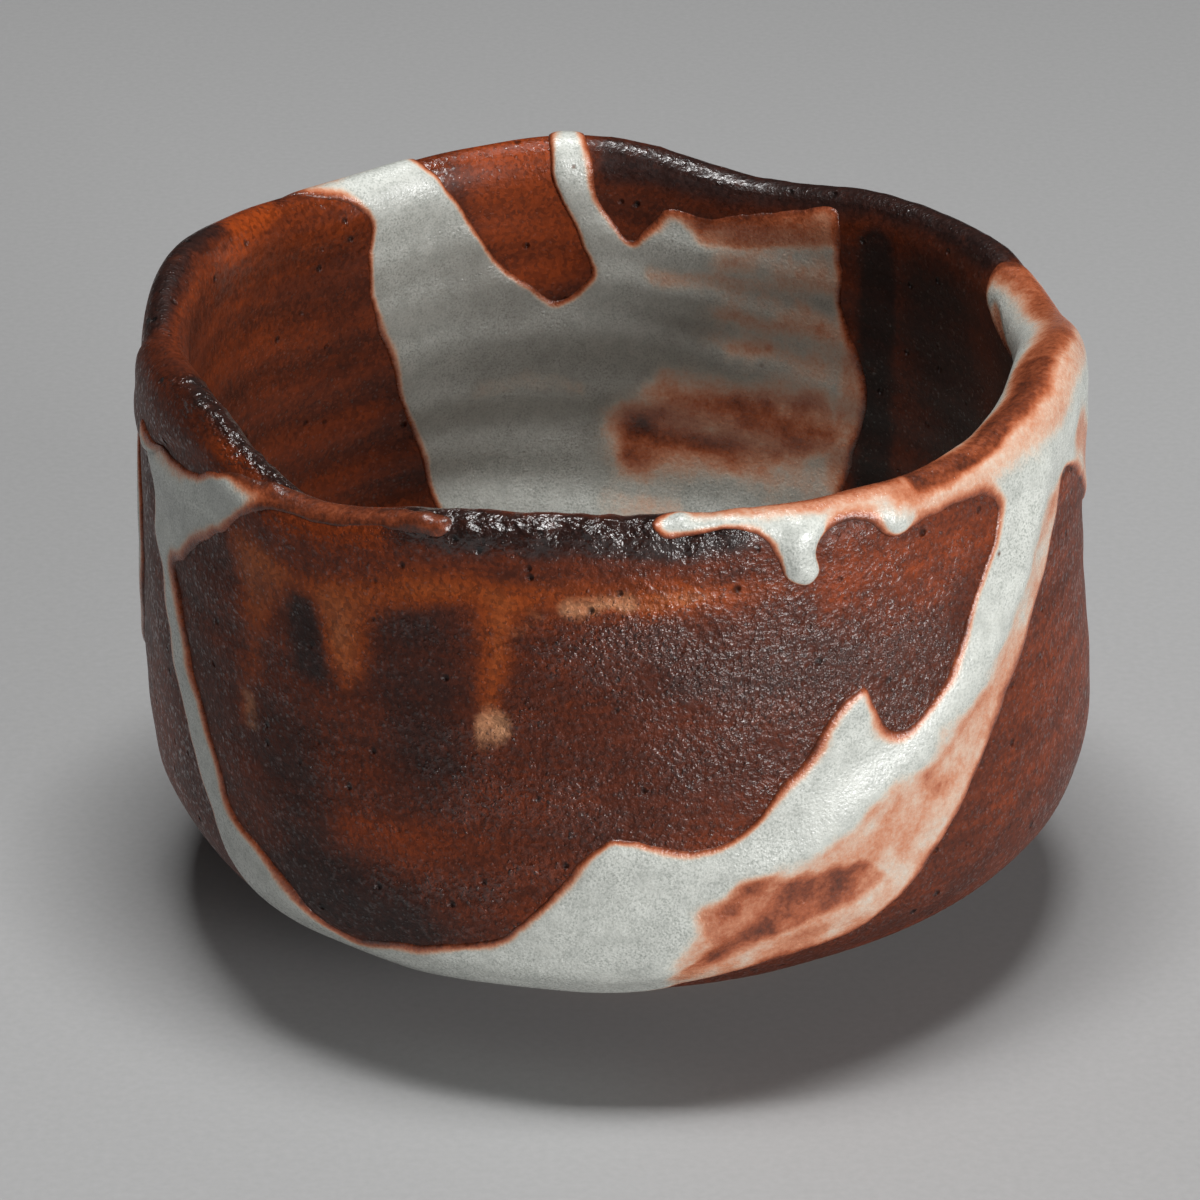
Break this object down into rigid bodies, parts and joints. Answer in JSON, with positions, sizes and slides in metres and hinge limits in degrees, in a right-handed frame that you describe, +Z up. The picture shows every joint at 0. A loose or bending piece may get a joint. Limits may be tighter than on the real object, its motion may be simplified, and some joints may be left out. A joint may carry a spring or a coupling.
{
  "type": "tea bowl",
  "caption": "Hand-thrown stoneware tea bowl with an uneven rounded rim, upright wall, low foot ring and thick pale glaze runs over red-brown clay.",
  "frame": {"origin": "on the surface the bowl stands on, under the middle of the bowl, where the axis it was turned on meets it", "axes": "+Z up out of the mouth, -Y towards the front that the picture shows, +X to that front's right"},
  "size_m": [0.1258, 0.126, 0.085],
  "materials": {
    "iron_slip": "satin",
    "bare_clay": "matte",
    "pale_glaze": "satin"
  },
  "bodies": {
    "root": {"clay_body": "iron_slip", "foot_ring": "bare_clay", "glaze_front_sweep": "pale_glaze", "glaze_left_run": "pale_glaze", "glaze_side_run": "pale_glaze", "glaze_left_rim": "pale_glaze", "glaze_rim_run": "pale_glaze", "glaze_inner_panel": "pale_glaze", "glaze_back_run": "pale_glaze", "glaze_inner_pool": "pale_glaze"}
  },
  "joints": []
}
